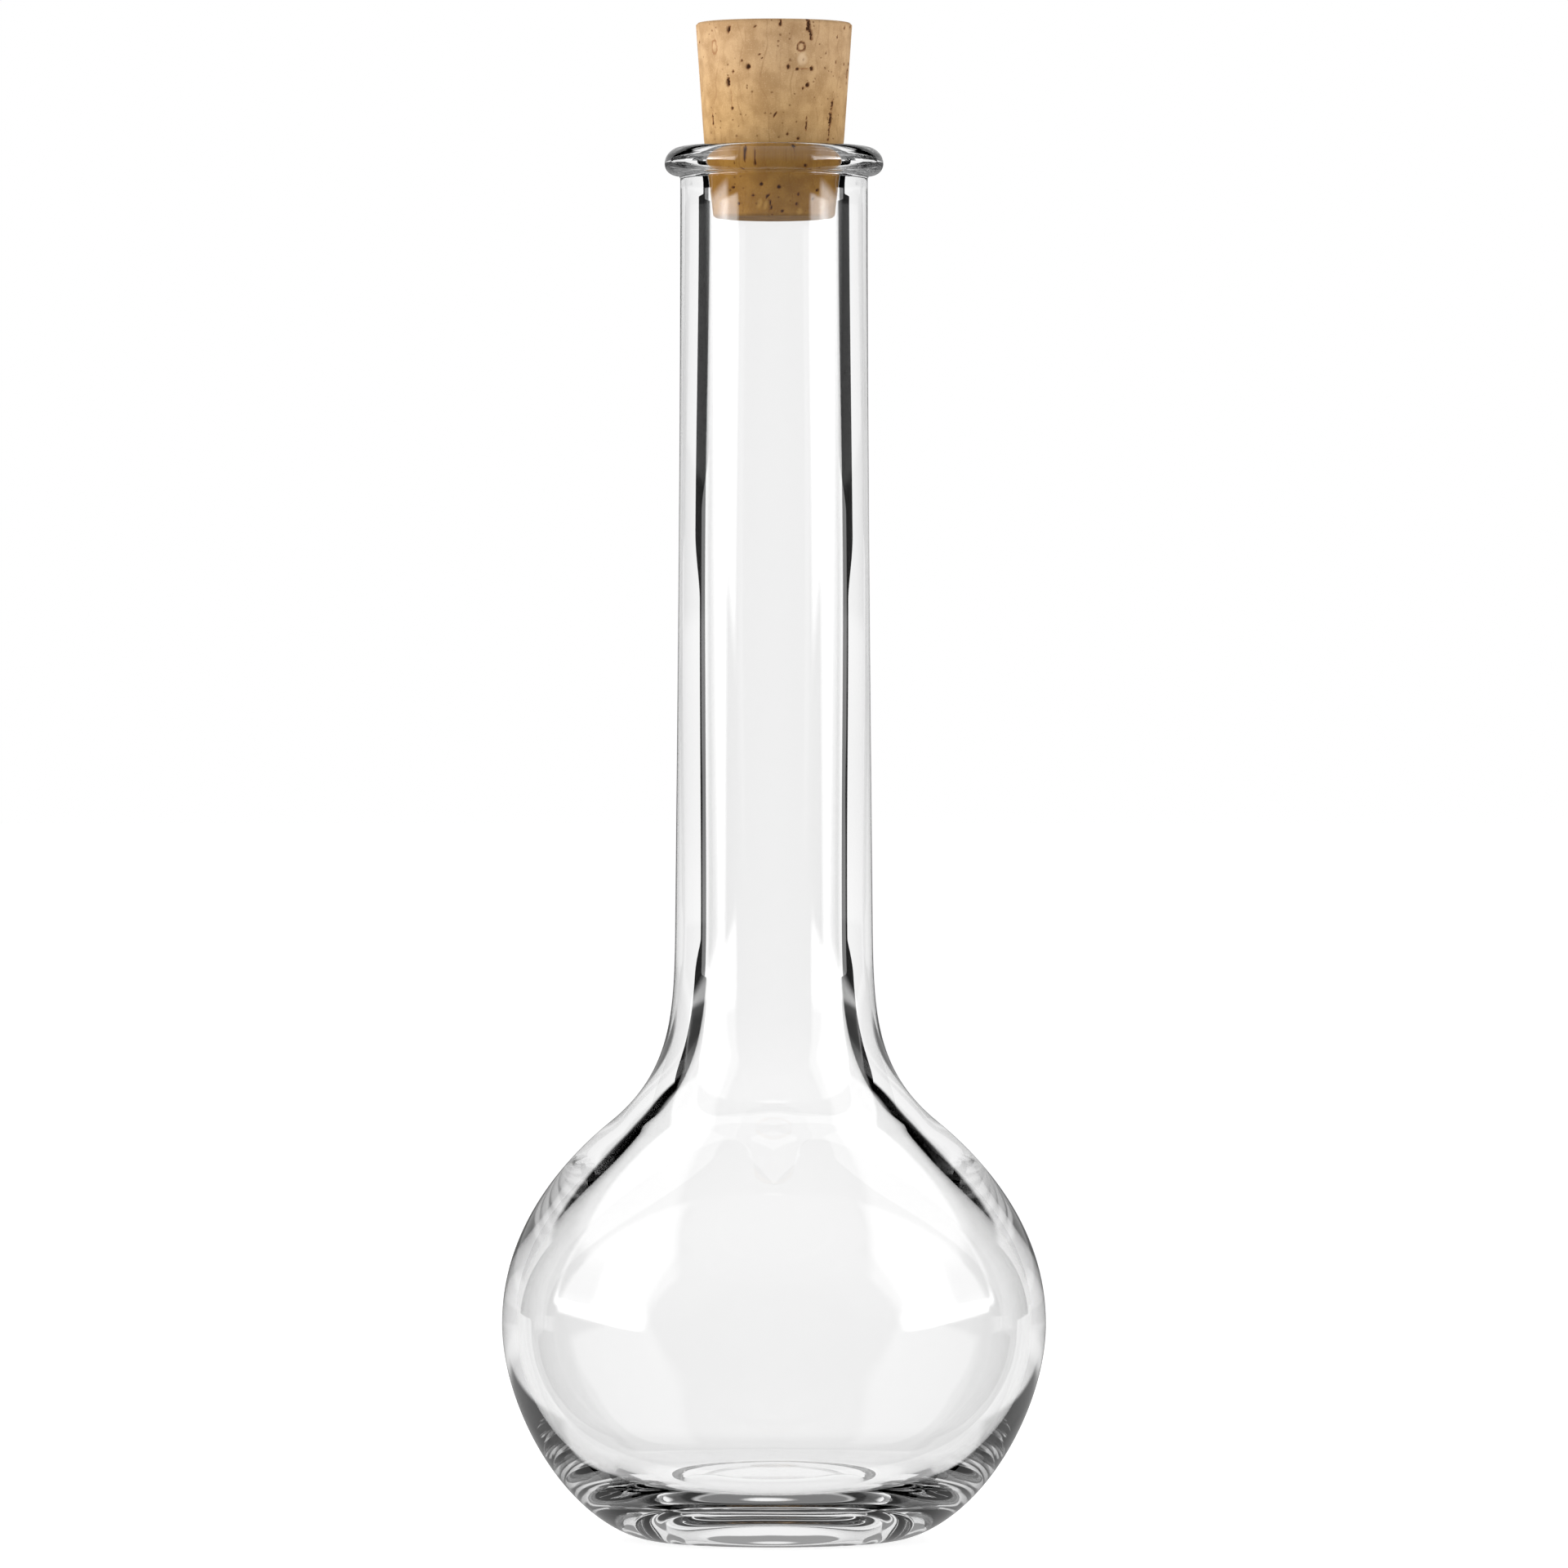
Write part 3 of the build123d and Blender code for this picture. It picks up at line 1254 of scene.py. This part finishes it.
    def gaps(self, sky: Sky) -> Socket:
        """Cuts the dark gap that lies beside the backdrop.

        Args:
            sky: The world's nodes.

        Returns:
            One on the backdrop and beyond the gap, less in the gap.
        """
        outside = sky.math("GREATER_THAN", sky.around, self.half_window(sky))
        black = sky.times(outside, sky.math("LESS_THAN", sky.around, sky.step(sky.away, self.gap_end)))
        near = sky.math("LESS_THAN", sky.around, math.radians(self.dim_end))
        return sky.math("SUBTRACT", 1.0, sky.most(black, sky.times(outside, near, self.dim_depth)))

    def turned_once(self, sky: Sky) -> Socket:
        """What light sees that the front wall's inner face has turned back.

        Args:
            sky: The world's nodes.

        Returns:
            The brightness in each direction.
        """
        turn = math.radians(self.ground_turn)
        aside = sky.math("MAXIMUM", sky.math("SUBTRACT", sky.around, turn), 0.0)
        slanted = sky.math("MULTIPLY_ADD", aside, self.ground_slant, sky.above)
        ground = sky.most(sky.step(slanted, self.ground_near), sky.step(sky.above, self.ground_far))
        backdrop = sky.times(self.gaps(sky), ground, sky.step(sky.above, self.backdrop_top))
        behind = sky.most(backdrop, sky.step(sky.above, self.ceiling))
        front = self.studio(sky, 1.0, self.softbox.glow(sky), self.room)
        return sky.blend(sky.step(sky.around, self.front_start), behind, front)

    def circling(self, sky: Sky, endless: Socket) -> Socket:
        """What light sees that has turned back several times within the glass.

        Args:
            sky: The world's nodes.
            endless: One where the light has turned back more than three times.

        Returns:
            The brightness in each direction.
        """
        above_top = sky.math("SUBTRACT", sky.above, sky.step(sky.around, self.circling_top))
        edges = (self.circling_near, self.circling_under)
        near_ground = sky.times(*(sky.step(sky.above, edge) for edge in edges))
        ground = sky.most(near_ground, sky.step(sky.above, self.ground_far))

        few = sky.times(self.gaps(sky), sky.without(sky.patch(self.slit), self.slit_depth))
        behind = sky.times(self.gaps(sky), sky.without(sky.patch(self.low_strip), self.low_depth))
        lit_sides = sky.most(sky.step(sky.around, self.sides), sky.patch(self.rim))
        front = sky.times(lit_sides, sky.step(sky.above, self.sides_level))
        flank = sky.step(sky.above, self.flank)
        beside = sky.blend(sky.beyond(sky.around, self.flank_start), flank, front)
        many = sky.blend(sky.beyond(sky.around, self.dim_end), behind, beside)
        return sky.times(sky.blend(endless, few, many), sky.step(above_top, fade(0.0, 3.0)), ground)

    def straight(self, sky: Sky) -> Socket:
        """What light that passed without turning back sees: bright, but dark high up."""
        return sky.times(sky.step(sky.above, self.straight_low), sky.step(sky.above, self.straight_high))


@dataclass(frozen=True)
class SoftLamp:
    """A soft lamp beside the bottle, turned to the middle of its neck. It doesn't show in the glass."""

    name: str
    place: Sequence[float]
    power: float
    aim: Sequence[float] = (0.0, 0.0, 0.12)
    width: float = 0.5
    height: float = 0.8

    def build(self) -> None:
        """Adds the lamp."""
        data = bpy.data.lights.new(self.name, "AREA")
        data.shape = "RECTANGLE"
        data.size = self.width
        data.size_y = self.height
        data.energy = self.power
        lamp = bpy.data.objects.new(self.name, data)
        lamp.location = self.place
        lamp.rotation_euler = (Vector(self.aim) - Vector(self.place)).to_track_quat("-Z", "Y").to_euler()
        lamp.visible_glossy = False
        lamp.visible_transmission = False
        bpy.context.scene.collection.objects.link(lamp)


@dataclass(frozen=True)
class WhiteGround:
    """The white ground, which keeps the bottle's shadow and isn't seen in the glass."""

    name: str = "white_ground"
    level: float = 0.8
    glow: float = 0.50
    half_width: float = 30.0

    def material(self) -> bpy.types.Material:
        """Builds the ground's paper.

        Returns:
            The material.
        """
        material, graph = new_material(self.name)
        paper = graph.surface(
            {
                "Base Color": grey(self.level),
                "Roughness": 1.0,
                "Specular IOR Level": 0.0,
                "Emission Color": grey(1.0),
                "Emission Strength": self.glow,
            }
        )
        path = graph.node("LightPath")
        in_glass = graph.most(path.outputs[Ray.GLOSSY.value], path.outputs[Ray.TRANSMISSION.value])
        graph.finish(graph.clear_where(in_glass, paper))
        return material

    def build(self) -> None:
        """Lays the ground."""
        bm = bmesh.new()
        bmesh.ops.create_grid(bm, x_segments=1, y_segments=1, size=self.half_width)
        mesh = bpy.data.meshes.new("ground_mesh")
        bm.to_mesh(mesh)
        bm.free()
        ground = placed("ground", mesh, self.material())


@dataclass
class Studio:
    """The camera far off in front, two soft lamps, the ground and what surrounds it all."""

    camera_distance: float = 14500 * PIXEL
    camera_height: float = 926 * PIXEL
    camera_right: float = 12.25 * PIXEL
    image_width: float = 1920 * PIXEL
    sensor: float = 36.0
    clip_start: float = 0.05
    bounces: int = 32
    glossy_bounces: int = 24
    surroundings: Surroundings = field(default_factory=Surroundings)
    ground: WhiteGround = WhiteGround()
    lamps: tuple[SoftLamp, ...] = (
        SoftLamp("lamp_left", (-1.0, -0.15, 0.35), 10.0),
        SoftLamp("lamp_right", (1.0, -0.2, 0.35), 3.3),
    )

    def camera(self) -> None:
        """Sets the camera level, far off in front."""
        data = bpy.data.cameras.new("camera")
        data.sensor_width = self.sensor
        data.lens = self.sensor * self.camera_distance / self.image_width
        data.clip_start = self.clip_start
        camera = bpy.data.objects.new("camera", data)
        camera.location = (self.camera_right, -self.camera_distance, self.camera_height)
        camera.rotation_euler = (math.radians(90), 0, 0)
        bpy.context.scene.collection.objects.link(camera)
        bpy.context.scene.camera = camera

    def build(self) -> None:
        """Sets up the whole studio."""
        self.camera()
        self.surroundings.build()
        self.ground.build()
        for lamp in self.lamps:
            lamp.build()
        scene = bpy.context.scene
        scene.view_settings.view_transform = "Standard"
        scene.cycles.max_bounces = self.bounces
        scene.cycles.transmission_bounces = self.bounces
        scene.cycles.glossy_bounces = self.glossy_bounces
        scene.cycles.transparent_max_bounces = self.bounces


def main() -> None:
    """Builds the bottle, its cork and the studio, in that order."""
    logging.basicConfig(level=logging.INFO, format="%(name)s: %(message)s")
    for part in (GlassBottle(), CorkStopper()):
        piece = part.build()
        LOG.info("%s has %d faces", piece.name, len(piece.data.polygons))
    Studio().build()


if __name__ == "__main__":
    main()
